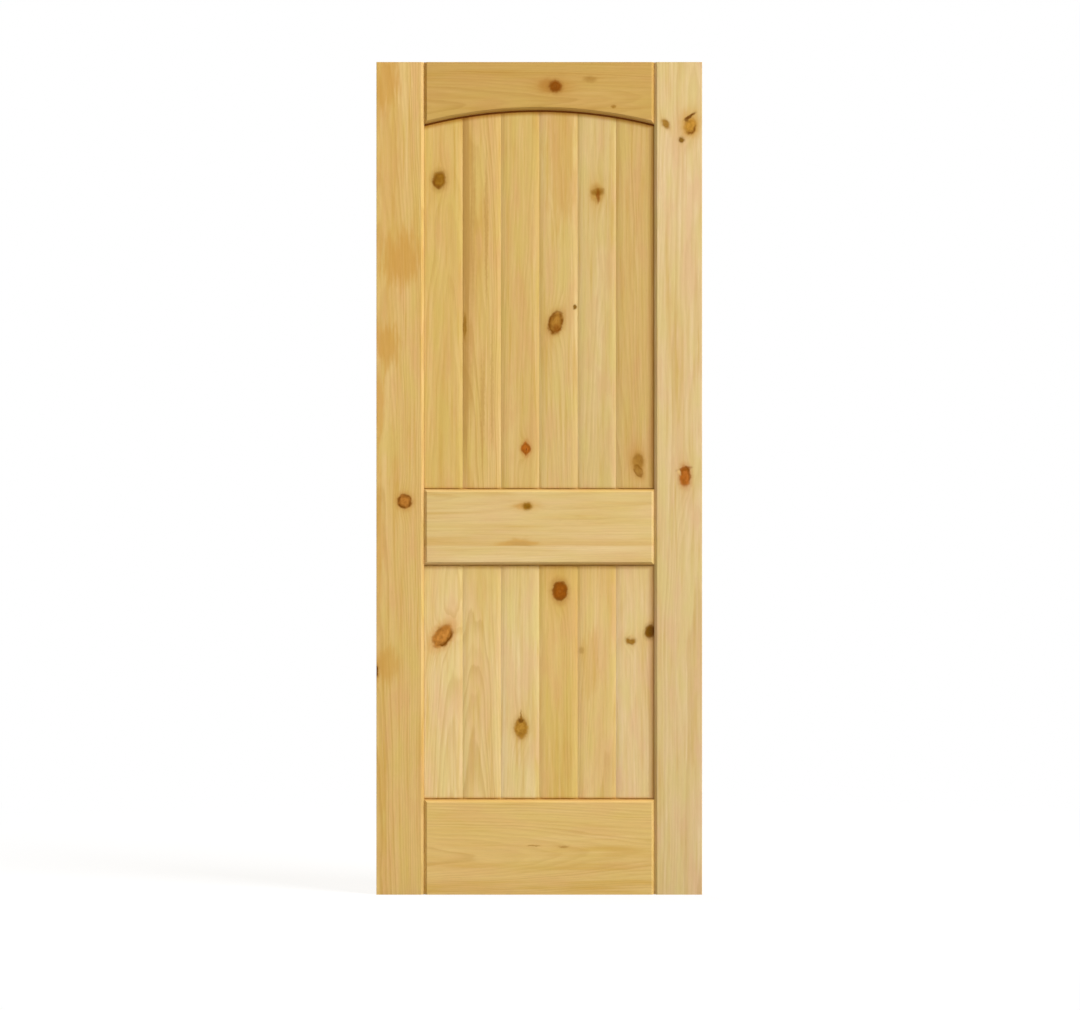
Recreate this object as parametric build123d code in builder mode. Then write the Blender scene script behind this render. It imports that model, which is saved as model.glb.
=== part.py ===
from build123d import *
from math import sqrt
import os

# Interior door slab in knotty pine: a frame of stiles and rails, with an arched top rail, that holds
# two recessed panels of planks with rounded joints. Both faces are alike.
#
# The origin is on the hinge edge, at the bottom of the door and in the middle of its thickness.
# +X runs across the door to the lock edge, +Y from the front face to the back, and +Z is up.
# All sizes are in millimetres.

# The slab
door_height = 2032.0
door_width = 795.0
door_thickness = 35.0
edge_radius = 1.5  # easing of the long arrises on the hinge and lock edges

# The frame's members, as wide as they look from the front, with their bevels
stile_width = 116.5
top_rail_width = 116.5  # at the crown of the arch
arch_rise = 35.0  # from the level where the arch meets the stiles up to its crown
lock_rail_width = 184.5
lock_rail_height = 897.25  # of its centre line, above the bottom of the door
bottom_rail_width = 232.0

# The sticking: the bevel on the frame's inner arrises, and the groove between the two bevels
bevel = 7.0
groove_width = 10.0
groove_depth = 12.0
tenon_clearance = 1.0  # between a rail's stub tenon and the floor of the stile's groove

# The planks
planks_across = 6
plank_thickness = 13.0
ease_width = 16.0  # of the rounded edge on one plank at a joint
ease_depth = 2.4
tongue_thickness = 5.0
tongue_length = 6.0
tongue_clearance = 0.3  # round a tongue in the next plank's groove

# How the panels sit in the frame
housing_clearance = 0.25  # on each side of a panel's edge in its groove
shadow_gap = 2.5  # from the planks' faces to the rails
arch_gap = 4.5  # the same under the arch, where the planks are scribed to the curve
side_gap = 0.4  # from the outer planks' faces to the stiles
expansion_gap = 2.0  # above the panels and beside them, in the grooves' floors

# Places that follow from the sizes
centre_line = door_width / 2
opening_left = stile_width
opening_right = door_width - stile_width
opening_width = opening_right - opening_left
lock_rail_low = lock_rail_height - lock_rail_width / 2
lock_rail_top = lock_rail_height + lock_rail_width / 2
arch_crown = door_height - top_rail_width
arch_foot = arch_crown - arch_rise
arch_radius = ((opening_width / 2) ** 2 + arch_rise**2) / (2 * arch_rise)
arch_centre = arch_crown - arch_radius
tenon_length = groove_depth - tenon_clearance
plank_pitch = opening_width / planks_across
half_plank = plank_thickness / 2
housed_thickness = groove_width - 2 * housing_clearance

# Each panel's opening: the level of its foot, and whether its head is the arch
panels = {"lower": (bottom_rail_width, False), "upper": (lock_rail_top, True)}


def arch_level(x, outward):
    """Height at x of the arch, moved outward from its centre."""
    return arch_centre + sqrt((arch_radius + outward) ** 2 - (x - centre_line) ** 2)


def panel_layer(panel, thickness, sides, foot, head, mode=Mode.ADD):
    """A flat layer with the outline of a panel's opening, its edges moved outward by sides, foot and head."""
    opening_foot, arched = panels[panel]
    left = opening_left - sides
    right = opening_right + sides
    low = opening_foot - foot
    high = arch_level(left, head) if arched else lock_rail_low + head
    with BuildSketch(Plane.XZ) as outline:
        with BuildLine():
            Polyline((left, high), (left, low), (right, low), (right, high))
            if arched:
                ThreePointArc((right, high), (centre_line, arch_crown + head), (left, high))
            else:
                Line((right, high), (left, high))
        make_face()
    extrude(outline.sketch, amount=thickness / 2, both=True, mode=mode)


def plough_groove(panel):
    """Cuts the groove that houses a panel's edges out of the member being made."""
    panel_layer(panel, groove_width, groove_depth, groove_depth, groove_depth, mode=Mode.SUBTRACT)


def add_stub_tenons(low, high):
    """Adds the tongues at both ends of a rail that fill the stiles' grooves."""
    with Locations((centre_line, 0, low)):
        Box(
            opening_width + 2 * tenon_length,
            groove_width,
            high - low,
            align=(Align.CENTER, Align.CENTER, Align.MIN),
        )


def finish(piece, name):
    """Names a finished piece and writes it to its own file."""
    piece.label = name
    export_step(piece, f"parts/{name}.step")


os.makedirs("parts", exist_ok=True)

# Stiles: full height, bevelled and grooved along their inner edge, eased along their outer one
with BuildPart() as hinge_stile:
    with BuildSketch(Plane.XY) as stile_section:
        with Locations((stile_width / 2, 0)):
            Rectangle(stile_width, door_thickness)
        fillet(stile_section.vertices().group_by(Axis.X)[0], edge_radius)
        chamfer(stile_section.vertices().group_by(Axis.X)[-1], bevel)
        with Locations((stile_width, 0)):
            Rectangle(2 * groove_depth, groove_width, mode=Mode.SUBTRACT)
    extrude(amount=door_height)
finish(hinge_stile.part, "hinge_stile")

with BuildPart() as lock_stile:
    mirror(hinge_stile.part, about=Plane.YZ.offset(centre_line))
finish(lock_stile.part, "lock_stile")

# Bottom rail: bevelled along its top edge and down both ends, grooved for the lower panel
with BuildPart() as bottom_rail:
    with BuildSketch(Plane.XZ):
        with Locations((centre_line, bottom_rail_width / 2)):
            Rectangle(opening_width, bottom_rail_width)
    extrude(amount=door_thickness / 2, both=True)
    face_edges = bottom_rail.faces().filter_by(Axis.Y).edges().group_by(Axis.Z)
    chamfer(face_edges[1] + face_edges[2], bevel)
    add_stub_tenons(0, bottom_rail_width)
    plough_groove("lower")
finish(bottom_rail.part, "bottom_rail")

# Lock rail: bevelled all round both faces, grooved for the panel below and the panel above
with BuildPart() as lock_rail:
    with BuildSketch(Plane.XZ):
        with Locations((centre_line, lock_rail_height)):
            Rectangle(opening_width, lock_rail_width)
    extrude(amount=door_thickness / 2, both=True)
    chamfer(lock_rail.faces().filter_by(Axis.Y).edges(), bevel)
    add_stub_tenons(lock_rail_low, lock_rail_top)
    plough_groove("lower")
    plough_groove("upper")
finish(lock_rail.part, "lock_rail")

# Top rail: its lower edge is the arch, bevelled along the curve and up both ends
with BuildPart() as top_rail:
    with BuildSketch(Plane.XZ):
        with BuildLine():
            Polyline(
                (opening_left, arch_foot),
                (opening_left, door_height),
                (opening_right, door_height),
                (opening_right, arch_foot),
            )
            ThreePointArc((opening_right, arch_foot), (centre_line, arch_crown), (opening_left, arch_foot))
        make_face()
    extrude(amount=door_thickness / 2, both=True)
    face_edges = top_rail.faces().filter_by(Axis.Y).edges()
    top_edges = face_edges.group_by(Axis.Z)[-1]
    chamfer(face_edges - top_edges, bevel)
    add_stub_tenons(arch_foot, door_height)
    plough_groove("upper")
finish(top_rail.part, "top_rail")


# Each panel is shaped whole, with a thinner edge all round for the grooves, and sawn into planks
def panel_blank(panel):
    """The whole panel, before it is divided."""
    with BuildPart() as blank:
        head_gap = arch_gap if panels[panel][1] else shadow_gap
        panel_layer(panel, plank_thickness, -side_gap, -shadow_gap, -head_gap)
        panel_layer(
            panel,
            housed_thickness,
            groove_depth - expansion_gap,
            groove_depth,
            groove_depth - expansion_gap,
        )
    return blank.part


def outer_side(x):
    """Draws half of a plank's side that goes into a stile, and returns where it meets the plank's face."""
    face_end = (x, half_plank)
    Line((x, 0), face_end)
    return face_end


def jointed_side(x, inward, reach, half_thickness):
    """Does the same for a side at a joint, with a tongue or a groove of the given reach and half thickness."""
    shoulder = (x, half_plank - ease_depth)
    face_end = (x + inward * ease_width, half_plank)
    Polyline((x + reach, 0), (x + reach, half_thickness), (x, half_thickness), shoulder)
    TangentArc(face_end, shoulder, tangent=(-inward, 0))
    return face_end


def grooved_side(x):
    """Does the same for a side with the groove, which has the joint at x."""
    return jointed_side(x, 1, tongue_length + tongue_clearance, tongue_thickness / 2 + tongue_clearance)


def tongue_side(x):
    """Does the same for a side with the tongue, which has the joint at x."""
    return jointed_side(x, -1, tongue_length, tongue_thickness / 2)


for panel in panels:
    whole_panel = panel_blank(panel)
    for number in range(1, planks_across + 1):
        left_joint = opening_left + (number - 1) * plank_pitch
        right_joint = left_joint + plank_pitch
        with BuildPart() as plank:
            add(whole_panel)
            with BuildSketch(Plane.XY):
                with BuildLine():
                    left_end = outer_side(0) if number == 1 else grooved_side(left_joint)
                    right_end = outer_side(door_width) if number == planks_across else tongue_side(right_joint)
                    Line(left_end, right_end)
                    mirror(about=Plane.XZ)
                make_face()
            extrude(amount=door_height, mode=Mode.INTERSECT)
        finish(plank.part, f"{panel}_plank_{number}")
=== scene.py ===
from math import cos, radians, sin
from typing import NamedTuple

import bpy
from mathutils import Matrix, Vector


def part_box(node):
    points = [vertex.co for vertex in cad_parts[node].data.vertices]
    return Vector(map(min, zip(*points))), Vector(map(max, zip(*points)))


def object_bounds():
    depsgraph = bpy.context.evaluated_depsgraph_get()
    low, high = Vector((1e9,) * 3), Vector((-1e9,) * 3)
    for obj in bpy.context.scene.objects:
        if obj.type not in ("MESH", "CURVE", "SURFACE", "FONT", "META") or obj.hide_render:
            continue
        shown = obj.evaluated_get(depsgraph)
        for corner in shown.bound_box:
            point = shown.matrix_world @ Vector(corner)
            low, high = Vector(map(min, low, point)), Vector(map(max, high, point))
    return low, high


# A knotty pine door slab, seen square on. Every board is cut from its own log: its material works out the
# log's growth rings in three dimensions, so faces, bevels, edges and ends of a board agree with each other,
# and each knot runs right through the board that it is in. Sizes and places on the door are in millimetres,
# and those of the floor, the light and the camera are in metres.

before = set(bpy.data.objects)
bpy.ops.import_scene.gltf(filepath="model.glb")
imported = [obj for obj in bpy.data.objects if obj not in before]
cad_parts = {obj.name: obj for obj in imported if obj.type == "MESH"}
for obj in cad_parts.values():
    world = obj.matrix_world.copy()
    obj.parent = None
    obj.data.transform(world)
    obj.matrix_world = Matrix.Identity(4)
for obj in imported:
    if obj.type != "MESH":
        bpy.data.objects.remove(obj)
cad_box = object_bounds()

MILLIMETRES = 1000  # in a metre
UP = (0.0, 0.0, 1.0)
ACROSS = (1.0, 0.0, 0.0)


def millimetres(box):
    """The lowest and highest corners of a box, in millimetres."""
    return [corner * MILLIMETRES for corner in box]


# Sizes that the boards' boxes don't give: the gaps between the planks' faces and the frame, and the rise of
# the arch from its ends to its crown
SHADOW_GAP = 2.5
ARCH_GAP = 4.5
ARCH_RISE = 35.0

# Places on the door
DOOR_LOW, DOOR_HIGH = millimetres(cad_box)
CENTRE_LINE = (DOOR_LOW.x + DOOR_HIGH.x) / 2
PANEL_LEFT = millimetres(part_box("hinge_stile"))[1].x
PANEL_RIGHT = millimetres(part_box("lock_stile"))[0].x
BOTTOM_RAIL_TOP = millimetres(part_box("bottom_rail"))[1].z
LOCK_RAIL_LOW, LOCK_RAIL_TOP = [corner.z for corner in millimetres(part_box("lock_rail"))]
ARCH_ENDS = millimetres(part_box("top_rail"))[0].z
ARCH_RADIUS = (((PANEL_RIGHT - PANEL_LEFT) / 2) ** 2 + ARCH_RISE**2) / (2 * ARCH_RISE)
ARCH_CENTRE = ARCH_ENDS + ARCH_RISE - ARCH_RADIUS
PANEL_FOOT = {"lower": BOTTOM_RAIL_TOP + SHADOW_GAP, "upper": LOCK_RAIL_TOP + SHADOW_GAP}


def linear(r, g, b):
    """A colour written as 8-bit sRGB, as the linear RGBA that sockets take."""
    shares = [part / 255 for part in (r, g, b)]
    return (*[s / 12.92 if s <= 0.04045 else ((s + 0.055) / 1.055) ** 2.4 for s in shares], 1.0)


class Field:
    """A number that varies over the surface. Arithmetic on it adds Math nodes to the material."""

    def __init__(self, socket):
        self.socket = socket

    def math(self, operation, *others):
        node = self.socket.id_data.nodes.new("ShaderNodeMath")
        node.operation = operation
        for socket, value in zip(node.inputs, (self, *others)):
            feed(socket, value)
        return Field(node.outputs[0])

    def __add__(self, other):
        return self.math("ADD", other)

    def __sub__(self, other):
        return self.math("SUBTRACT", other)

    def __mul__(self, other):
        return self.math("MULTIPLY", other)

    def __truediv__(self, other):
        return self.math("DIVIDE", other)

    def smooth(self, start, end):
        """0 where the field is at start, 1 where it is at end, and an S-curve between them."""
        node = self.socket.id_data.nodes.new("ShaderNodeMapRange")
        node.interpolation_type = "SMOOTHSTEP"
        falling = start > end
        feed(node.inputs["Value"], self)
        feed(node.inputs["From Min"], min(start, end))
        feed(node.inputs["From Max"], max(start, end))
        feed(node.inputs["To Min"], float(falling))
        feed(node.inputs["To Max"], float(not falling))
        return Field(node.outputs[0])

    def swing(self, amount):
        """A field from 0 to 1, moved so that it swings by half an amount to either side of 0."""
        return (self - 0.5) * amount


def feed(socket, value):
    """Gives a socket a link or a plain value."""
    if isinstance(value, Field):
        value = value.socket
    if isinstance(value, bpy.types.NodeSocket):
        socket.id_data.links.new(value, socket)
    else:
        socket.default_value = value


def combine(tree, x, y, z):
    node = tree.nodes.new("ShaderNodeCombineXYZ")
    for socket, value in zip(node.inputs, (x, y, z)):
        feed(socket, value)
    return node.outputs[0]


def place(vector, at, size, turn=0.0):
    """The vector as seen from a spot on the board, in units of the spot's half size."""
    node = vector.id_data.nodes.new("ShaderNodeMapping")
    node.vector_type = "TEXTURE"
    feed(node.inputs["Vector"], vector)
    feed(node.inputs["Location"], (at[0], 0.0, at[1]))
    feed(node.inputs["Rotation"], (0.0, radians(turn), 0.0))
    feed(node.inputs["Scale"], (size[0], 1.0, size[1]))
    return node.outputs[0]


def vector_math(operation, a, b=None):
    node = a.id_data.nodes.new("ShaderNodeVectorMath")
    node.operation = operation
    feed(node.inputs[0], a)
    if b is not None:
        feed(node.inputs[1], b)
    return node


def length(vector):
    return Field(vector_math("LENGTH", vector).outputs["Value"])


def dot(a, b):
    return Field(vector_math("DOT_PRODUCT", a, b).outputs["Value"])


# How far a step of the seed moves a noise along its axes
SEED_STEPS = (7.31, 3.17, 5.53)
LINE_SEED_STEP = 13.7


def noise(vector, across, along, detail, seed):
    """Noise from 0 to 1 with the given feature sizes, across the grain and along it."""
    tree = vector.id_data
    scaled = tree.nodes.new("ShaderNodeMapping")
    feed(scaled.inputs["Vector"], vector)
    feed(scaled.inputs["Location"], tuple(seed * step for step in SEED_STEPS))
    feed(scaled.inputs["Scale"], (1 / across, 1 / across, 1 / along))
    node = tree.nodes.new("ShaderNodeTexNoise")
    feed(node.inputs["Vector"], scaled.outputs[0])
    feed(node.inputs["Scale"], 1.0)
    feed(node.inputs["Detail"], detail)
    return Field(node.outputs[0])


def noise_line(value, seed):
    """Noise from 0 to 1 along a single number."""
    node = value.socket.id_data.nodes.new("ShaderNodeTexNoise")
    node.noise_dimensions = "1D"
    feed(node.inputs["W"], value + seed * LINE_SEED_STEP)
    feed(node.inputs["Scale"], 1.0)
    feed(node.inputs["Detail"], 1.0)
    return Field(node.outputs[0])


def scatter(value):
    """A random number from 0 to 1 for each whole number."""
    node = value.socket.id_data.nodes.new("ShaderNodeTexWhiteNoise")
    node.noise_dimensions = "1D"
    feed(node.inputs["W"], value)
    return Field(node.outputs["Value"])


# The sockets of a Mix node that are for colours
MIX_AMOUNT, MIX_UNDER, MIX_OVER, MIX_RESULT = 0, 6, 7, 2


def tint(amount, under, over, mode="MIX"):
    """One colour laid over another by an amount from 0 to 1."""
    node = amount.socket.id_data.nodes.new("ShaderNodeMix")
    node.data_type = "RGBA"
    node.blend_type = mode
    feed(node.inputs[MIX_AMOUNT], amount)
    feed(node.inputs[MIX_UNDER], under)
    feed(node.inputs[MIX_OVER], over)
    return node.outputs[MIX_RESULT]


# Colours of the wood in knots
RED = linear(180, 98, 20)
RUST = linear(154, 82, 2)
BROWN = linear(150, 102, 18)
ORANGE = linear(202, 134, 54)
CHESTNUT = linear(176, 122, 42)
DARK = linear(112, 66, 10)
TAN = linear(184, 133, 44)
HONEY = linear(194, 138, 44)
OLIVE = linear(156, 108, 14)
MOSS = linear(126, 86, 4)
SIENNA = linear(186, 120, 44)
UMBER = linear(140, 74, 0)
# A pale fleck on two of the knots
PALE_FLECK = linear(231, 194, 124)

# Colours of a knot's rim, of bark in its heart and its cracks, and of painted shade in a narrow gap
RIM = linear(122, 70, 4)
BARK = linear(82, 42, 2)
GAP_SHADE = linear(126, 60, 0)

# The share of red, green and blue that painted shade lets through, multiplied into the wood in the gaps round
# the panels and on the frame's bevels
PAINTED_SHADE_FILTER = (0.64, 0.40, 0.06, 1.0)

# Shades of a board's wood, as shares of the red, green and blue of its earlywood
EARLYWOOD = (1.0, 1.0, 1.0)
LATEWOOD = (0.86, 0.78, 0.60)
AMBER = (0.95, 0.91, 0.76)
BLOND = (1.035, 1.05, 1.13)
ROSY = (1.0, 0.95, 1.0)
GREENISH = (0.985, 1.015, 0.94)
RESIN = (0.93, 0.83, 0.62)
HEARTWOOD = (0.86, 0.79, 0.66)
END_GRAIN = (0.72, 0.62, 0.48)

# The noises in a board: feature size across the grain and along it, and detail. The place of a noise in this
# list sets its seed.
NOISES = {
    "knot_x": (10, 10, 4.0),
    "knot_z": (10, 10, 4.0),
    "patch_edge": (7, 60, 3.0),
    "band_edge": (60, 130, 2.0),
    "broad_wave": (80, 620, 2.0),
    "wave": (22, 170, 2.0),
    "fine_wave": (3, 45, 2.0),
    "tone": (26, 420, 3.0),
    "fibre": (0.55, 26, 3.0),
    "canal": (0.6, 14, 0.0),
    "sheen": (35, 160, 2.0),
    "mottle": (9, 11, 3.0),
    "streak": (6, 190, 3.0),
    "hue": (34, 130, 3.0),
    "speck": (1.6, 1.6, 3.0),
    "sweep": (15, 15, 1.0),
    "heart_edge": (6, 300, 3.0),
}


class Knot(NamedTuple):
    """A knot where it meets the front face."""

    x: float  # its place on the door
    z: float
    width: float
    height: float
    wood: tuple  # its colour
    lean: float = 0.0  # how far its top leans to the right, in degrees
    show: float = 1.0  # how strongly it shows
    point: float = 0.0  # how far it runs out to points along its height
    rim: float = 0.4  # the weight of its dark rim
    heavy: tuple = ()  # the side on which the rim is heaviest
    core: float = 0.0  # how dark its heart is
    soft: float = 0.22  # how soft its edge is
    swell: float = 6.0  # how far it pushes the growth rings aside
    halo: float = 0.4  # the strength of the resin round it
    checks: tuple = ()  # the directions of the cracks that run out from its heart, in degrees
    reach: float = 2.4  # how far it disturbs the grain along the board, in half sizes


class Patch(NamedTuple):
    """An uneven patch of darker wood, resinous or, in a streak of heartwood, browner."""

    x: float
    z: float
    width: float
    height: float
    strength: float
    heart: bool = False


class Timber(NamedTuple):
    """The wood of one board."""

    tone: tuple  # the colour of its earlywood, in 8-bit sRGB
    pith: tuple  # the place of the pith across the board and in its depth, from the board's middle
    lean: tuple  # how far the pith moves across and in depth over a metre
    spacing: float  # the width of a growth ring
    figure: float  # the strength of its latewood
    seed: int
    knots: tuple = ()
    patches: tuple = ()
    band: tuple = ()  # the level and fade of a broad dark band of latewood along the board


# How far a knot moves across and up for each millimetre of depth, and how far its outline wanders
KNOT_TILT = (0.15, 0.25)
KNOT_WANDER = 7.0


class Board:
    """A board in its material: its timber, and the place of a point on it and along its grain."""

    def __init__(self, name, timber, tree):
        self.timber = timber
        self.tree = tree
        self.noises = {}
        self.panel = name.split("_")[0] if "plank" in name else None
        self.upright = not name.endswith("_rail")
        low, high = millimetres(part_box(name))
        self.middle = (low + high) / 2

        coords = tree.nodes.new("ShaderNodeTexCoord")
        split = tree.nodes.new("ShaderNodeSeparateXYZ")
        feed(split.inputs[0], coords.outputs["Object"])
        self.normal = coords.outputs["Normal"]
        self.x, self.y, self.z = [Field(socket) * MILLIMETRES for socket in split.outputs]
        self.across, self.along = (self.x, self.z) if self.upright else (self.z, self.x)
        self.grain = combine(tree, self.across, self.y, self.along)

        # The point on the front face that a point inside belongs to, seen along the knots
        depth = self.y - low.y
        front_x = self.noise("knot_x").swing(KNOT_WANDER) + self.x - depth * KNOT_TILT[0]
        front_z = self.noise("knot_z").swing(KNOT_WANDER) + self.z - depth * KNOT_TILT[1]
        self.front = combine(tree, front_x, 0.0, front_z)

    def noise(self, kind):
        """The board's noise of one kind, made when it is first asked for."""
        if kind not in self.noises:
            seed = self.timber.seed + 1 + list(NOISES).index(kind)
            self.noises[kind] = noise(self.grain, *NOISES[kind], seed)
        return self.noises[kind]

    def shade(self, shares):
        """A shade of the board's wood."""
        return linear(*[part * share for part, share in zip(self.timber.tone, shares)])

    def above_head(self):
        """How far above the head of its panel a point of a plank is."""
        if self.panel == "lower":
            return self.z - (LOCK_RAIL_LOW - SHADOW_GAP)
        from_centre = combine(self.tree, self.x - CENTRE_LINE, 0.0, self.z - ARCH_CENTRE)
        return length(from_centre) - (ARCH_RADIUS - ARCH_GAP)


class Spot(NamedTuple):
    """A knot in the material of its board."""

    knot: Knot
    local: bpy.types.NodeSocket  # the place of a point, in half sizes of the knot
    distance: Field  # from the heart of the knot, in half sizes
    swell: Field  # 1 at the heart, and falling to 0 in the grain round the knot


REACH_ASIDE = 1.5  # how far a knot disturbs the grain across the board, in half sizes
SPINDLE = (1.0, 0.0, 0.62)  # the outline of a pointed knot: how fast it ends across and along its height


def find_spot(board, knot):
    """Lays out a knot's own coordinates."""
    at = (knot.x, knot.z)
    half = (knot.width / 2, knot.height / 2)
    reach = (REACH_ASIDE, knot.reach) if board.upright else (knot.reach, REACH_ASIDE)
    local = place(board.front, at, half, knot.lean)
    far = place(board.front, at, (half[0] * reach[0], half[1] * reach[1]), knot.lean)
    swell = (dot(far, far) * -1.0).math("EXPONENT")
    distance = length(local)
    if knot.point:
        spindle = dot(vector_math("ABSOLUTE", local).outputs[0], SPINDLE)
        distance = distance * (1.0 - knot.point) + spindle * knot.point
    return Spot(knot, local, distance, swell)


# How far each noise moves the growth rings
RING_WAVES = {"broad_wave": 26.0, "wave": 5.0, "fine_wave": 0.7}

# How rings bunch together: the pace of the change along the rings, and how many rings it moves them
BUNCHING = (0.3, 1.6)

# In a ring, from 0 to 1: where its latewood begins and is full, and where it fades and ends
LATE_ONSET = (0.15, 0.80)
LATE_END = (1.0, 0.84)
WEAKEST_RING = 0.25


def growth(board, spots):
    """The latewood of the growth rings, from 0 to 1. The rings lie round a pith that leans, and knots push
    them aside."""
    timber = board.timber
    middle = board.middle
    middle_across, middle_along = (middle.x, middle.z) if board.upright else (middle.z, middle.x)
    metres = (board.along - middle_along) / MILLIMETRES
    aside = board.across - (timber.pith[0] + middle_across) - metres * timber.lean[0]
    deep = board.y - (timber.pith[1] + middle.y) - metres * timber.lean[1]
    radius = (aside * aside + deep * deep).math("SQRT")
    for kind, amount in RING_WAVES.items():
        radius = radius + board.noise(kind).swing(amount)
    for spot in spots:
        radius = radius + spot.swell * spot.knot.swell
    rings = radius / timber.spacing
    pace, shift = BUNCHING
    rings = rings + noise_line(rings * pace, timber.seed) * shift
    phase = rings.math("FRACT")
    weight = scatter(rings.math("FLOOR")) * (1.0 - WEAKEST_RING) + WEAKEST_RING
    return phase.smooth(*LATE_ONSET) * phase.smooth(*LATE_END) * weight


# Changes of tone in clear wood, in the order in which they are laid on: the noise, the range over which the
# change sets in, its strength on the uprights and on the rails, and the shade
TONES = (
    ("tone", (0.50, 0.78), 1.0, 1.0, AMBER),
    ("tone", (0.48, 0.24), 1.0, 1.0, BLOND),
    ("streak", (0.50, 0.76), 0.8, 0.44, AMBER),
    ("streak", (0.48, 0.26), 0.6, 0.33, BLOND),
    ("hue", (0.48, 0.70), 0.7, 0.385, ROSY),
    ("hue", (0.52, 0.30), 0.7, 0.385, GREENISH),
)
CANAL_ONSET = (0.74, 0.84)
CANAL_STRENGTH = 0.3


def clear_wood(board, late):
    """Earlywood with its changes of tone, darker lines of latewood and short resin canals."""
    colour = board.shade(EARLYWOOD)
    for kind, onset, on_uprights, on_rails, shade in TONES:
        strength = on_uprights if board.upright else on_rails
        colour = tint(board.noise(kind).smooth(*onset) * strength, colour, board.shade(shade))
    colour = tint(late * board.timber.figure, colour, board.shade(LATEWOOD))
    canals = board.noise("canal").smooth(*CANAL_ONSET)
    return tint(canals * CANAL_STRENGTH, colour, board.shade(LATEWOOD))


# A band of latewood: how far its edge waves, how sharp the edge is, and its strength
BAND_WAVE = 4.0
BAND_EDGE = (-0.5, 2.0)
BAND_STRENGTH = 0.38

# A patch, in its half sizes: how far its edge wanders, and where it fades in
PATCH_WANDER = 1.5
PATCH_FADE = (1.25, 0.45)

# How far below the head of the lower panel its planks begin to darken, and how much they do
HEAD_SHADE_REACH = 130.0
HEAD_SHADE = 0.35


def darker_wood(board, colour):
    """The board's band of latewood and its patches, which end at the band's edge, and the planks' darkening
    towards the head of the lower panel."""
    ledge = None
    if board.timber.band:
        level, fade = board.timber.band
        above = board.across - level + board.noise("band_edge").swing(BAND_WAVE)
        ledge = above.smooth(*BAND_EDGE)
        colour = tint(ledge * above.smooth(fade, 0.0) * BAND_STRENGTH, colour, board.shade(RESIN))
    for patch in board.timber.patches:
        edge = board.noise("heart_edge" if patch.heart else "patch_edge")
        local = place(board.front, (patch.x, patch.z), (patch.width / 2, patch.height / 2))
        amount = (length(local) + edge.swing(PATCH_WANDER)).smooth(*PATCH_FADE) * patch.strength
        if ledge:
            amount = amount * ledge
        colour = tint(amount, colour, board.shade(HEARTWOOD if patch.heart else RESIN))
    if board.panel == "lower":
        near_head = board.above_head().smooth(-HEAD_SHADE_REACH, 0.0)
        colour = tint(near_head * HEAD_SHADE, colour, board.shade(AMBER))
    return colour


# A knot's outline and the colour that it lends to the wood round it. Distances are in its half sizes.
KNOT_RAGGED = 0.35
BLEED_FADE = (1.9, 0.9)
BLEED_STRENGTH = 0.4

# The light and shade in a knot
KNOT_MOTTLE = 1.3
KNOT_SPECKS = 0.12
KNOT_OUTSIDE = (0.2, 1.0)  # the range over which it darkens towards its outside
KNOT_OUTSIDE_SHADE = 0.16
KNOT_RINGS = 15.0  # the pace of its own rings
KNOT_RING_WAVES = 9.0
KNOT_RING_SHADE = 0.06
KNOT_SHADE = 0.12  # added all over
KNOT_LIGHT = 0.3  # the strength of its lighter parts
CORE_FADE = (0.85, 0.1)

# The rim: its place and sharpness, where it shows, and how much heavier it is on its heavy side
RIM_PLACE = 0.9
RIM_SHARPNESS = -26.0
RIM_ONSET = (0.30, 0.55)
HEAVY_SIDE = (0.1, 0.95)
HEAVY_RIM = 0.85
RIM_DENT = 0.4

# The cracks: how they narrow along their run, their edges, where they begin, and how dark they are
CRACK_TAPER = 0.10
CRACK_EDGE = (0.15, 0.04)
CRACK_START = (-0.10, 0.05)
CRACK_STRENGTH = 0.8


def knot_wood(board, colour, spot, ragged):
    """The resin round a knot and the wood in it."""
    knot, distance = spot.knot, spot.distance
    mottle = board.noise("mottle")
    body = ragged.smooth(1.0 + knot.soft, 1.0 - knot.soft) * knot.show
    colour = tint(spot.swell * knot.halo, colour, board.shade(RESIN))
    colour = tint(ragged.smooth(*BLEED_FADE) * (knot.show * BLEED_STRENGTH), colour, knot.wood)
    colour = tint(body, colour, knot.wood)
    rings = (distance * KNOT_RINGS + mottle * KNOT_RING_WAVES).math("SINE") * KNOT_RING_SHADE
    shade = mottle.swing(KNOT_MOTTLE) + board.noise("speck").swing(KNOT_SPECKS)
    shade = shade + distance.smooth(*KNOT_OUTSIDE) * KNOT_OUTSIDE_SHADE + rings
    colour = tint(body * (shade + KNOT_SHADE).math("MAXIMUM", 0.0), colour, DARK)
    colour = tint(body * (shade * -1.0).math("MAXIMUM", 0.0) * KNOT_LIGHT, colour, board.shade(AMBER))
    if knot.core:
        colour = tint(ragged.smooth(*CORE_FADE) * knot.core, colour, BARK)
    return colour


def knot_rim(board, spot, ragged):
    """The strength of a knot's dark rim."""
    edge = ragged - RIM_PLACE
    rim = (edge * edge * RIM_SHARPNESS).math("EXPONENT") * board.noise("sweep").smooth(*RIM_ONSET)
    if not spot.knot.heavy:
        return rim * spot.knot.rim
    heavy_x, heavy_z = spot.knot.heavy
    side = dot(vector_math("NORMALIZE", spot.local).outputs[0], (heavy_x, 0.0, heavy_z))
    return rim * (side.smooth(*HEAVY_SIDE) * HEAVY_RIM + spot.knot.rim).math("MINIMUM", 1.0)


def knot_crack(spot, turn):
    """The strength of a crack that runs out from a knot's heart."""
    run = dot(spot.local, (sin(radians(turn)), 0.0, cos(radians(turn))))
    aside = dot(spot.local, (cos(radians(turn)), 0.0, -sin(radians(turn))))
    gape = aside.math("ABSOLUTE") + run * CRACK_TAPER
    return gape.smooth(*CRACK_EDGE) * run.smooth(*CRACK_START) * CRACK_STRENGTH


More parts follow.
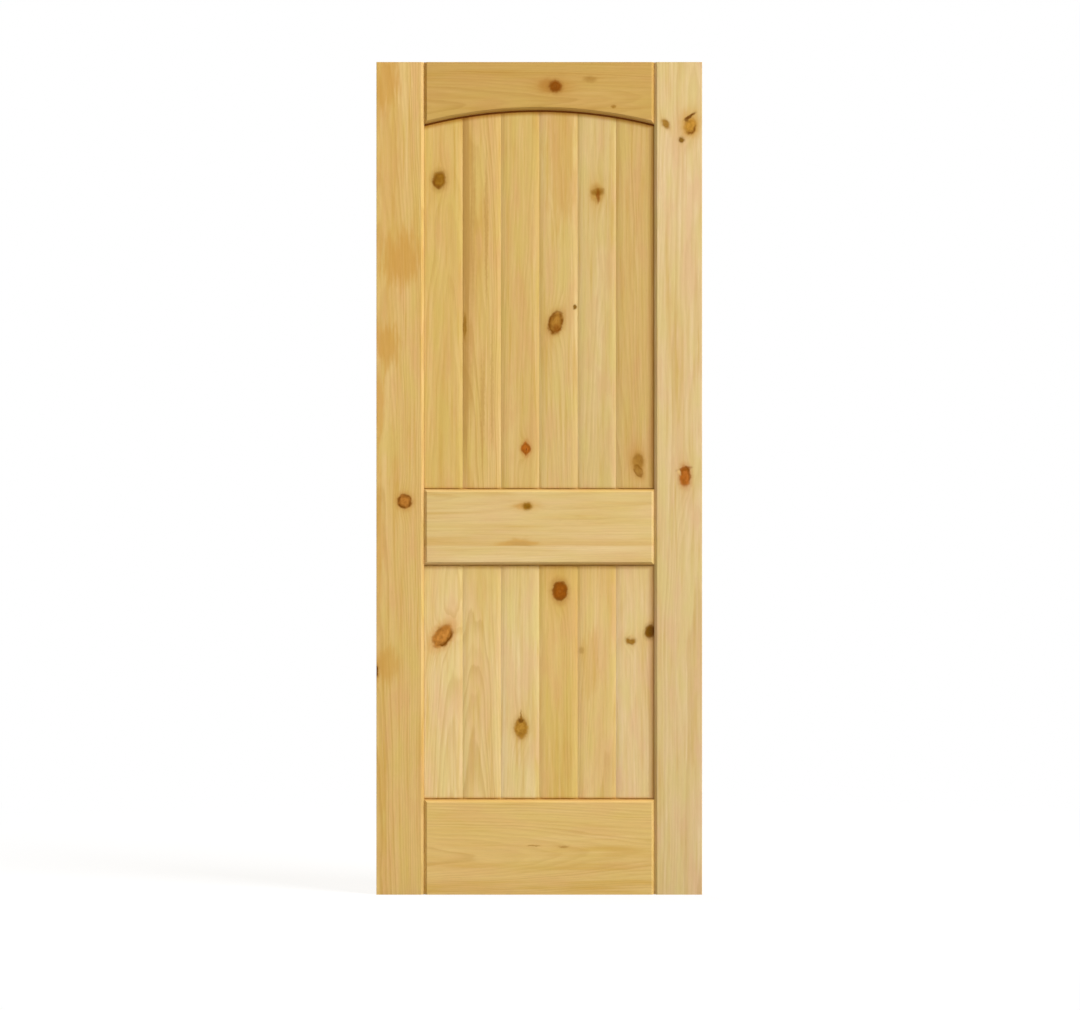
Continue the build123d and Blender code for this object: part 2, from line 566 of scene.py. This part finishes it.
def knotted(board, colour, spots):
    """The board's colour with its knots, and the depth of the dents at their rims and cracks."""
    dents = 0.0
    for spot in spots:
        ragged = spot.distance + board.noise("mottle").swing(KNOT_RAGGED)
        colour = knot_wood(board, colour, spot, ragged)
        rim = knot_rim(board, spot, ragged)
        colour = tint(rim, colour, RIM)
        dents = rim * RIM_DENT + dents
        for turn in spot.knot.checks:
            crack = knot_crack(spot, turn)
            colour = tint(crack, colour, BARK)
            dents = crack + dents
    return colour, dents


class PaintedShade(NamedTuple):
    """Painted shade on the planks at the foot and the head of a panel, and how dark the painted shade is in
    the gap at the head."""

    foot: float
    head: float
    head_gap_shade: float


PAINTED_SHADES = {
    "upper": PaintedShade(foot=0.45, head=0.8, head_gap_shade=0.8),
    "lower": PaintedShade(foot=0.68, head=0.45, head_gap_shade=0.1),
}
# A painted shadow along a panel's lock side, and painted shade in the gap at its foot
STILE_SHADOW = 0.58
FOOT_GAP_SHADE = 0.15

# How far from its edge the painted shade on the planks begins, and the level round the edge at which it is
# full
FOOT_SHADE_REACH = 6.0
STILE_SHADOW_REACH = 19.0
PANEL_HEAD_SHADE_REACH = 12.0
FULL_SHADE = 1.0
GAP_START = 0.2
GAP_FULL = 0.3


def panel_painted_shade(board, colour):
    """Painted shade in the gaps round a panel, where the planks thin down to enter the grooves, and a painted
    shadow along its lock side."""
    painted_shade = PAINTED_SHADES[board.panel]
    foot = PANEL_FOOT[board.panel]
    head = board.above_head()
    at_foot = board.z.smooth(foot + FOOT_SHADE_REACH, foot - FULL_SHADE) * painted_shade.foot
    stile_shadow = board.x.smooth(PANEL_RIGHT - STILE_SHADOW_REACH, PANEL_RIGHT - FULL_SHADE) * STILE_SHADOW
    at_head = head.smooth(-PANEL_HEAD_SHADE_REACH, 0.0) * painted_shade.head
    shaded = at_foot.math("MAXIMUM", stile_shadow).math("MAXIMUM", at_head)
    colour = tint(shaded, colour, PAINTED_SHADE_FILTER, "MULTIPLY")
    foot_gap_shade = board.z.smooth(foot + GAP_START, foot - GAP_FULL) * FOOT_GAP_SHADE
    head_gap_shade = head.smooth(-GAP_START, GAP_FULL) * painted_shade.head_gap_shade
    return tint(foot_gap_shade.math("MAXIMUM", head_gap_shade), colour, GAP_SHADE)


# The painted shade on the bevels: the distances outside the panels' sides between which it sets in, those
# from the door's ends, and the depths from the middle of the door at which it begins and is full
BEVEL_FADE = (10.0, 8.0)
END_FADE = (1.0, 4.0)
BEVEL_DEPTHS = (15.5, 10.5)

# How level a bevel lies, and the painted shade on level and on upright ones
LEVEL_RANGE = (0.2, 0.6)
LEVEL_BEVEL_SHADE = 0.52
UPRIGHT_BEVEL_SHADE = 0.16


def bevel_painted_shade(board, colour):
    """Painted shade low on the frame's bevels, stronger on level ones than on upright ones."""
    outer, inner = BEVEL_FADE
    end, clear = END_FADE
    between = board.x.smooth(PANEL_LEFT - outer, PANEL_LEFT - inner)
    between = between * board.x.smooth(PANEL_RIGHT + outer, PANEL_RIGHT + inner)
    between = between * board.z.smooth(end, clear) * board.z.smooth(DOOR_HIGH.z - end, DOOR_HIGH.z - clear)
    deep = board.y.math("ABSOLUTE").smooth(*BEVEL_DEPTHS)
    level = dot(board.normal, UP).math("ABSOLUTE").smooth(*LEVEL_RANGE)
    painted_shade = level * (LEVEL_BEVEL_SHADE - UPRIGHT_BEVEL_SHADE) + UPRIGHT_BEVEL_SHADE
    return tint(between * deep * painted_shade, colour, PAINTED_SHADE_FILTER, "MULTIPLY")


# End grain: how squarely a face cuts the grain, and how much darker it is
END_RANGE = (0.75, 1.0)
END_STRENGTH = 0.55

# The surface: contrast of the fibres, roughness and what adds to it, and the relief
FIBRE_CONTRAST = 0.22
ROUGHNESS = 0.34
SHEEN_ROUGHNESS = 0.16
END_ROUGHNESS = 0.15
DENT_ROUGHNESS = 0.1
SPECULAR = 0.08
RELIEF_STRENGTH = 0.35
RELIEF_DEPTH = 0.0003  # metres
LATEWOOD_RELIEF = 0.5
FIBRE_RELIEF = 0.5


def pine(name, timber):
    """The material of one board."""
    material = bpy.data.materials.new(name)
    material.use_nodes = True
    tree = material.node_tree
    board = Board(name, timber, tree)
    spots = [find_spot(board, knot) for knot in timber.knots]
    late = growth(board, spots)
    end = dot(board.normal, UP if board.upright else ACROSS).math("ABSOLUTE").smooth(*END_RANGE)
    fibre = board.noise("fibre")

    colour = clear_wood(board, late)
    colour = darker_wood(board, colour)
    colour, dents = knotted(board, colour, spots)
    colour = tint(end * END_STRENGTH, colour, board.shade(END_GRAIN))
    # Painted shade round the panels and painted shade on the frame's bevels
    colour = panel_painted_shade(board, colour) if board.panel else bevel_painted_shade(board, colour)

    value = tree.nodes.new("ShaderNodeHueSaturation")
    feed(value.inputs["Color"], colour)
    feed(value.inputs["Value"], fibre.swing(FIBRE_CONTRAST) + 1.0)
    bump = tree.nodes.new("ShaderNodeBump")
    feed(bump.inputs["Strength"], RELIEF_STRENGTH)
    feed(bump.inputs["Distance"], RELIEF_DEPTH)
    feed(bump.inputs["Height"], late * LATEWOOD_RELIEF + fibre * FIBRE_RELIEF - dents)
    rough = board.noise("sheen") * SHEEN_ROUGHNESS + end * END_ROUGHNESS + dents * DENT_ROUGHNESS
    shader = tree.nodes["Principled BSDF"]
    feed(shader.inputs["Base Color"], value.outputs[0])
    feed(shader.inputs["Roughness"], rough + ROUGHNESS)
    feed(shader.inputs["Specular IOR Level"], SPECULAR)
    feed(shader.inputs["Normal"], bump.outputs[0])
    return material


# The frame's boards
BOARDS = {
    "hinge_stile": Timber(
        (218, 182, 110), (-58, 70), (10, 26), 4.6, 0.42, 1,
        knots=(
            Knot(69, 960, 34, 34, SIENNA, rim=0.95, soft=0.2, swell=7),
            Knot(0, 546, 9, 26, DARK, rim=0.3, halo=0.9, swell=9),
        ),
        patches=(
            Patch(60, 1552, 100, 150, 0.75),
            Patch(26, 1345, 62, 118, 0.7),
            Patch(30, 562, 56, 100, 0.6),
            Patch(24, 1985, 70, 160, 0.6),
            Patch(34, 1700, 64, 760, 0.25),
            Patch(6, 1200, 34, 190, 0.55),
            Patch(5, 860, 26, 330, 0.35),
        ),
    ),
    "lock_stile": Timber(
        (219, 190, 133), (48, 85), (-8, 18), 5.0, 0.3, 2,
        knots=(
            Knot(766, 1876, 28, 38, HONEY, lean=8, show=0.9, rim=0.05, heavy=(0.6, -0.8), soft=0.4, halo=0.6),
            Knot(766, 1900, 6, 24, DARK, lean=57, rim=0.3, point=0.1, soft=0.4, halo=0.2, swell=1),
            Knot(757, 1891, 8, 9, DARK, show=0.6, rim=0.0, soft=0.5, halo=0.0, swell=0),
            Knot(706, 1881, 14, 24, OLIVE, lean=-35, show=0.8, rim=0.0, soft=0.4, swell=3),
            Knot(744, 1842, 12, 12, MOSS, show=0.9, rim=0.1, soft=0.35, halo=0.2, swell=2),
            Knot(753, 1021, 26, 46, RED, show=0.95, rim=0.1, heavy=(0.8, 0.6), soft=0.3, swell=7),
            Knot(752, 1039, 8, 27, UMBER, lean=78, show=0.6, point=0.3, rim=0.0, soft=0.6, halo=0.0, swell=0),
            Knot(739, 1032, 6, 13, PALE_FLECK, lean=-20, show=0.7, rim=0.0, soft=0.5, halo=0.0, swell=0),
        ),
        patches=(Patch(765, 1884, 68, 76, 0.5),),
    ),
    "top_rail": Timber(
        (200, 161, 87), (-24, 60), (14, 34), 4.2, 0.34, 3,
        knots=(
            Knot(418, 1975, 34, 26, RUST, show=0.35, rim=0.0, soft=0.7, halo=0.3, swell=2),
            Knot(437, 1972, 27, 26, UMBER, rim=0.2, core=0.15, soft=0.35, halo=0.7, reach=3.2),
            Knot(521, 1990, 26, 12, BROWN, show=0.3, rim=0.0, soft=0.8, halo=0.2, swell=2),
            Knot(579, 1924, 9, 7, BROWN, show=0.6, rim=0.1, soft=0.6, halo=0.2, swell=1.5),
        ),
    ),
    "lock_rail": Timber(
        (221, 190, 126), (70, 60), (5, 20), 4.8, 0.18, 4,
        knots=(
            Knot(356, 948, 30, 12, ORANGE, show=0.35, rim=0.0, soft=0.7, halo=0.2, swell=0),
            Knot(368, 948, 19, 16, OLIVE, rim=0.0, core=0.3, soft=0.45, halo=0.7, swell=5, reach=3.0),
        ),
        patches=(Patch(345, 853, 112, 36, 0.8), Patch(350, 853, 80, 22, 0.5, heart=True)),
        band=(851, 34),
    ),
    "bottom_rail": Timber(
        (222, 187, 113), (-10, 75), (12, 40), 4.4, 0.36, 5,
        knots=(
            Knot(458, 117, 20, 5, BROWN, show=0.35, rim=0.0, soft=0.5, halo=0.3, swell=2.5),
            Knot(383, 119, 26, 3, BROWN, show=0.35, rim=0.0, soft=0.6, halo=0.2, swell=2),
        ),
    ),
}

# The planks of the upper panel, from the hinge side
BOARDS |= {
    "upper_plank_1": Timber(
        (215, 179, 104), (12, 90), (6, 22), 4.4, 0.3, 6,
        knots=(Knot(153, 1745, 31, 40, BROWN, lean=6, rim=0.05, heavy=(-0.6, -0.8), soft=0.28, halo=0.35),),
    ),
    "upper_plank_2": Timber(
        (216, 180, 108), (-34, 70), (8, 26), 4.0, 0.45, 7,
        knots=(Knot(215, 1388, 9, 44, OLIVE, show=0.6, point=0.5, rim=0.0, soft=0.4, halo=0.3, swell=4),),
        patches=(
            Patch(214, 1640, 56, 780, 0.85, heart=True),
            Patch(212, 1240, 44, 320, 0.6, heart=True),
            Patch(268, 1610, 9, 420, 0.55, heart=True),
            Patch(259, 1190, 11, 300, 0.55, heart=True),
            Patch(282, 1250, 7, 340, 0.4, heart=True),
        ),
    ),
    "upper_plank_3": Timber(
        (212, 177, 105), (60, 100), (6, 14), 4.8, 0.26, 8,
        knots=(Knot(365, 1089, 23, 26, RED, point=0.55, rim=0.25, checks=(175,)),),
    ),
    "upper_plank_4": Timber(
        (215, 183, 115), (-50, 90), (4, 16), 4.6, 0.3, 9,
        knots=(
            Knot(438, 1397, 33, 53, CHESTNUT, lean=19, rim=0.95, soft=0.25, swell=8),
            Knot(441, 1381, 13, 20, UMBER, lean=-8, show=0.5, rim=0.0, soft=0.6, halo=0.0, swell=0),
            Knot(484, 1434, 7, 10, MOSS, show=0.9, rim=0.0, soft=0.4, halo=0.15, swell=1.5),
        ),
        patches=(Patch(450, 1800, 84, 380, 0.45),),
    ),
    "upper_plank_5": Timber(
        (213, 183, 119), (40, 110), (4, 12), 5.0, 0.26, 10,
        knots=(
            Knot(538, 1712, 27, 38, TAN, show=0.55, rim=0.0, soft=0.6, halo=0.6),
            Knot(540, 1716, 25, 13, BROWN, lean=-6, show=0.8, rim=0.0, soft=0.8, halo=0.0, swell=0),
            Knot(541, 1707, 7, 24, UMBER, show=0.8, point=0.3, rim=0.0, soft=0.8, halo=0.0, swell=0),
        ),
    ),
    "upper_plank_6": Timber(
        (208, 173, 105), (-60, 85), (5, 18), 4.4, 0.3, 11,
        knots=(
            Knot(639, 1058, 23, 33, BROWN, lean=-6, show=0.6, rim=0.2, soft=0.4, halo=0.9, swell=5),
            Knot(639, 1035, 17, 31, BROWN, lean=-30, show=0.45, rim=0.5, soft=0.4, halo=0.5, swell=4),
        ),
    ),
}

# The planks of the lower panel, from the hinge side
BOARDS |= {
    "lower_plank_1": Timber(
        (229, 200, 138), (24, 66), (8, 34), 4.2, 0.4, 12,
        knots=(
            Knot(
                161, 631, 39, 60, ORANGE,
                lean=36, point=0.12, rim=0.3, heavy=(1.0, -0.2), halo=0.5, swell=10,
            ),
        ),
    ),
    "lower_plank_2": Timber((225, 194, 129), (-18, 60), (6, 36), 4.0, 0.42, 13),
    "lower_plank_3": Timber(
        (225, 197, 134), (50, 95), (4, 14), 4.8, 0.28, 14,
        knots=(
            Knot(353, 406, 32, 46, TAN, point=0.25, rim=0.15, soft=0.25, halo=0.5, swell=8, reach=2.8),
            Knot(353, 424, 10, 9, DARK, show=0.85, rim=0.0, soft=0.5, halo=0.0, swell=0),
            Knot(353, 434, 4, 22, BROWN, show=0.6, point=0.6, rim=0.0, soft=0.5, halo=0.0, swell=0),
        ),
    ),
    "lower_plank_4": Timber(
        (218, 183, 108), (-44, 90), (6, 16), 4.6, 0.28, 15,
        knots=(
            Knot(448, 741, 35, 46, RUST, rim=0.6, soft=0.18, halo=0.5, swell=7),
            Knot(497, 596, 9, 15, BROWN, show=0.3, rim=0.0, soft=0.6, swell=2),
        ),
    ),
    "lower_plank_5": Timber(
        (221, 188, 120), (30, 80), (6, 22), 4.4, 0.32, 16,
        knots=(Knot(500, 596, 12, 14, BROWN, show=0.2, rim=0.0, soft=0.6, swell=2),),
        patches=(Patch(520, 560, 46, 190, 0.35),),
    ),
    "lower_plank_6": Timber(
        (224, 194, 137), (-40, 95), (4, 16), 4.8, 0.26, 17,
        knots=(
            Knot(621, 620, 22, 17, OLIVE, show=0.85, rim=0.0, soft=0.3, halo=0.3, swell=5),
            Knot(621, 628, 14, 9, PALE_FLECK, show=0.75, rim=0.0, soft=0.5, halo=0.0, swell=0),
            Knot(668, 642, 23, 30, MOSS, lean=10, rim=0.3, core=0.3, soft=0.3, halo=0.6, swell=5),
        ),
    ),
}

for name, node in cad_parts.items():
    node.data.materials.clear()
    node.data.materials.append(pine(name, BOARDS[name]))

scene = bpy.context.scene
door_middle = (cad_box[0] + cad_box[1]) / 2


def seen_directly(tree):
    """1 for rays from the camera and for those seen by reflection or through glass, and 0 for light that
    falls on the door."""
    path = tree.nodes.new("ShaderNodeLightPath")
    seen = Field(path.outputs["Is Camera Ray"]).math("MAXIMUM", path.outputs["Is Glossy Ray"])
    return seen.math("MAXIMUM", path.outputs["Is Transmission Ray"])


def mix_shaders(tree, amount, first, second):
    node = tree.nodes.new("ShaderNodeMixShader")
    feed(node.inputs[0], amount)
    feed(node.inputs[1], first)
    feed(node.inputs[2], second)
    return node.outputs[0]


def diffuse(tree, colour):
    node = tree.nodes.new("ShaderNodeBsdfDiffuse")
    feed(node.inputs["Color"], colour)
    return node.outputs[0]


WHITE = (1.0, 1.0, 1.0, 1.0)
FLOOR_REACH = 30.0
FLOOR_COLOUR = (0.9, 0.9, 0.9, 1.0)
FLOOR_BOUNCE = (0.42, 0.42, 0.42, 1.0)  # the floor's colour as the door sees it
SHADOW_PLACE = (0.4, 0.2, 0.0)
SHADOW_FADE = (0.6, 3.2)  # the distances from there between which the shadow fades out
SHADOW_SHARE = 0.2


def floor_white():
    """White, with the door's shadow on it, and plain white from a few metres away on."""
    material = bpy.data.materials.new("floor_white")
    material.use_nodes = True
    tree = material.node_tree
    tree.nodes.remove(tree.nodes["Principled BSDF"])
    coords = tree.nodes.new("ShaderNodeTexCoord")
    away = length(vector_math("SUBTRACT", coords.outputs["Object"], SHADOW_PLACE).outputs[0])
    glow = tree.nodes.new("ShaderNodeEmission")
    feed(glow.inputs["Strength"], 1.0)
    plain = away.smooth(*SHADOW_FADE) * SHADOW_SHARE + (1.0 - SHADOW_SHARE)
    shown = mix_shaders(tree, plain, diffuse(tree, FLOOR_COLOUR), glow.outputs[0])
    surface = mix_shaders(tree, seen_directly(tree), diffuse(tree, FLOOR_BOUNCE), shown)
    feed(tree.nodes["Material Output"].inputs["Surface"], surface)
    return material


corners = [(-FLOOR_REACH, -FLOOR_REACH, 0), (FLOOR_REACH, -FLOOR_REACH, 0)]
corners += [(FLOOR_REACH, FLOOR_REACH, 0), (-FLOOR_REACH, FLOOR_REACH, 0)]
floor_mesh = bpy.data.meshes.new("floor")
floor_mesh.from_pydata(corners, [], [(0, 1, 2, 3)])
floor_mesh.materials.append(floor_white())
floor = bpy.data.objects.new("floor", floor_mesh)
scene.collection.objects.link(floor)

FILL_COLOUR = (1.0, 0.93, 0.8, 1.0)
FILL_STRENGTH = 0.48
BACK_LIGHT = (-0.72, 0.55, 0.42)  # the direction of the brighter part of the fill
BACK_LIGHT_FADE = (0.75, 1.0)
BACK_LIGHT_STRENGTH = 4.0


def studio():
    """A world that is white where it is seen and a soft fill where it lights the door. The fill is stronger
    from the upper left behind the door."""
    world = bpy.data.worlds.new("studio")
    world.use_nodes = True
    tree = world.node_tree
    direction = tree.nodes.new("ShaderNodeTexCoord").outputs["Generated"]
    behind = dot(direction, BACK_LIGHT).smooth(*BACK_LIGHT_FADE)
    fill = tree.nodes["Background"]
    feed(fill.inputs["Color"], FILL_COLOUR)
    feed(fill.inputs["Strength"], behind * BACK_LIGHT_STRENGTH + FILL_STRENGTH)
    white = tree.nodes.new("ShaderNodeBackground")
    feed(white.inputs["Color"], WHITE)
    feed(white.inputs["Strength"], 1.0)
    surface = mix_shaders(tree, seen_directly(tree), fill.outputs[0], white.outputs[0])
    feed(tree.nodes["World Output"].inputs["Surface"], surface)
    return world


scene.world = studio()

# Key light: a softbox at the upper right, in front of the door
KEY_PLACE = Vector((10.4, -8.1, 10.1))  # from the middle of the door
key_data = bpy.data.lights.new("key", "AREA")
key_data.shape = "SQUARE"
key_data.size = 7.5
key_data.energy = 2840
key_data.color = (1.0, 1.04, 1.18)
key = bpy.data.objects.new("key", key_data)
key.location = door_middle + KEY_PLACE
key.rotation_euler = (-KEY_PLACE).to_track_quat("-Z", "Y").to_euler()
scene.collection.objects.link(key)

# Camera: square on to the face, with a long lens
PICTURE_WIDTH = 2.6355  # at the door's face
PICTURE_MIDDLE_X = 0.3993
PICTURE_MIDDLE_Z = 0.951
camera_data = bpy.data.cameras.new("camera")
camera_data.sensor_fit = "HORIZONTAL"
camera_data.sensor_width = 36.0
camera_data.lens = 135.0
camera_distance = PICTURE_WIDTH * camera_data.lens / camera_data.sensor_width
camera = bpy.data.objects.new("camera", camera_data)
camera.location = (PICTURE_MIDDLE_X, cad_box[0].y - camera_distance, PICTURE_MIDDLE_Z)
camera.rotation_euler = (radians(90), 0, 0)
scene.collection.objects.link(camera)
scene.camera = camera

scene.view_settings.view_transform = "Standard"
